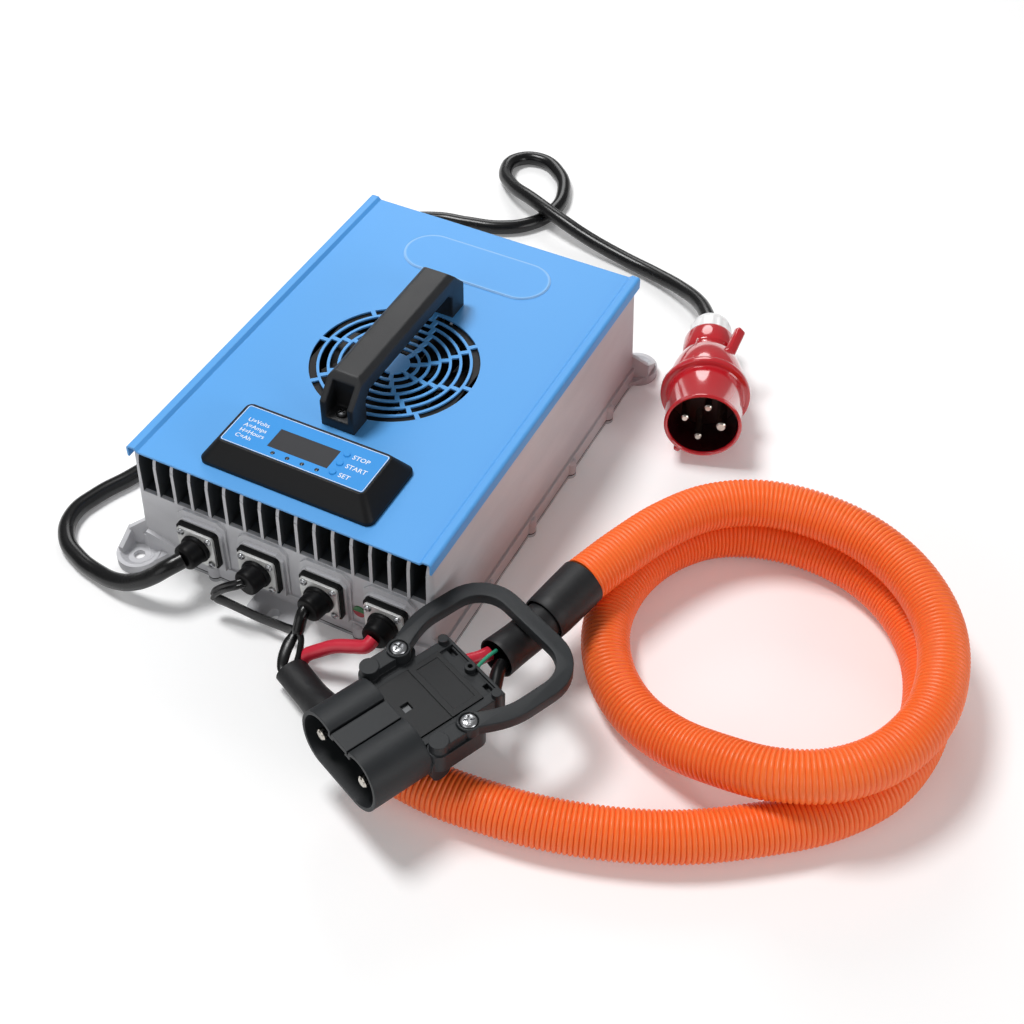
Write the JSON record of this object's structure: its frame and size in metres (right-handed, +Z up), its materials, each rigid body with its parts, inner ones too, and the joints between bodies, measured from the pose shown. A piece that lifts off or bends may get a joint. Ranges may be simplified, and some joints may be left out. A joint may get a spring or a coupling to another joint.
{
  "type": "forklift battery charger",
  "caption": "Finned cast case under a folded cover with fan grille, carrying handle and display panel, a mains lead with round plug and a coiled battery lead with handled connector.",
  "frame": {"origin": "centre of the four mounting ears, on the floor plane", "axes": "+Z up, connectors and display on the -Y side, +X to the right seen from the front"},
  "size_m": [0.6564, 0.7393, 0.145],
  "materials": {
    "cast_aluminium": "cast, satin",
    "plated_steel": "zinc plated",
    "seal_rubber": "matt",
    "blue_paint": "satin powder coat",
    "black_plastic": "fine texture",
    "blue_film": "printed film",
    "dark_display": "tinted",
    "connector_metal": "plated",
    "green_lens": "smooth",
    "circuit_board": "solder mask",
    "core_iron": "dull",
    "copper_winding": "varnished",
    "capacitor_sleeve": "shrink sleeve",
    "black_cable": "satin",
    "red_cable": "satin",
    "green_wire": "satin",
    "black_sleeve": "matt",
    "orange_conduit": "corrugated",
    "red_plug": "glossy",
    "white_nut": "satin",
    "dark_red_insert": "matt",
    "contact_metal": "nickel plated",
    "grey_plastic": "fine texture"
  },
  "bodies": {
    "charger": {"case": "cast_aluminium", "base_plate": "plated_steel", "base_gasket": "seal_rubber", "base_screws": "plated_steel", "top_cover": "blue_paint", "fan_frame": "black_plastic", "fan_screws": "plated_steel", "handle": "black_plastic", "handle_screws": "plated_steel", "panel_housing": "black_plastic", "panel_overlay": "blue_film", "display_window": "dark_display", "status_lamps": "dark_display", "display_board": "circuit_board", "connector_gasket_1": "seal_rubber", "connector_gasket_2": "seal_rubber", "connector_gasket_3": "seal_rubber", "connector_gasket_4": "seal_rubber", "connector_plate_1": "connector_metal", "connector_plate_2": "connector_metal", "connector_plate_3": "connector_metal", "connector_plate_4": "connector_metal", "cable_boot_1": "seal_rubber", "cable_boot_2": "seal_rubber", "cable_boot_3": "seal_rubber", "cable_boot_4": "seal_rubber", "connector_screws": "plated_steel", "status_dot": "green_lens", "main_board": "circuit_board", "transformer_core": "core_iron", "transformer_coil": "copper_winding", "bus_capacitors": "capacitor_sleeve", "output_choke": "copper_winding", "mains_cord": "black_cable", "signal_cable": "black_cable", "negative_cable": "black_cable", "positive_cable": "red_cable", "front_sleeve": "black_sleeve", "conduit": "orange_conduit", "rear_sleeve": "black_sleeve", "positive_tail": "red_cable", "negative_tail": "black_cable", "pilot_wire": "green_wire", "plug_shroud": "red_plug", "plug_body": "red_plug", "plug_gland_nut": "white_nut", "plug_insert": "dark_red_insert", "plug_phase_pins": "contact_metal", "plug_earth_pin": "contact_metal", "din_housing": "grey_plastic", "din_cover": "grey_plastic", "din_voltage_key": "contact_metal", "din_pins": "contact_metal", "din_handle": "grey_plastic", "din_handle_screws": "plated_steel"},
    "fan": {"fan_rotor": "black_plastic"},
    "stop_key": {"stop_button": "blue_film"},
    "start_key": {"start_button": "blue_film"},
    "set_key": {"set_button": "blue_film"}
  },
  "joints": [
    {"name": "fan_spin", "type": "hinge", "parent": "charger", "child": "fan", "pos_m": [0, -0.0045, 0.09], "axis": [0, 0, 1], "continuous": true},
    {"name": "stop_press", "type": "slide", "parent": "charger", "child": "stop_key", "axis": [0, 0, -1], "range_m": [0, 0.0005], "stiffness_N_per_m": 1000},
    {"name": "start_press", "type": "slide", "parent": "charger", "child": "start_key", "axis": [0, 0, -1], "range_m": [0, 0.0005], "stiffness_N_per_m": 1000},
    {"name": "set_press", "type": "slide", "parent": "charger", "child": "set_key", "axis": [0, 0, -1], "range_m": [0, 0.0005], "stiffness_N_per_m": 1000}
  ]
}
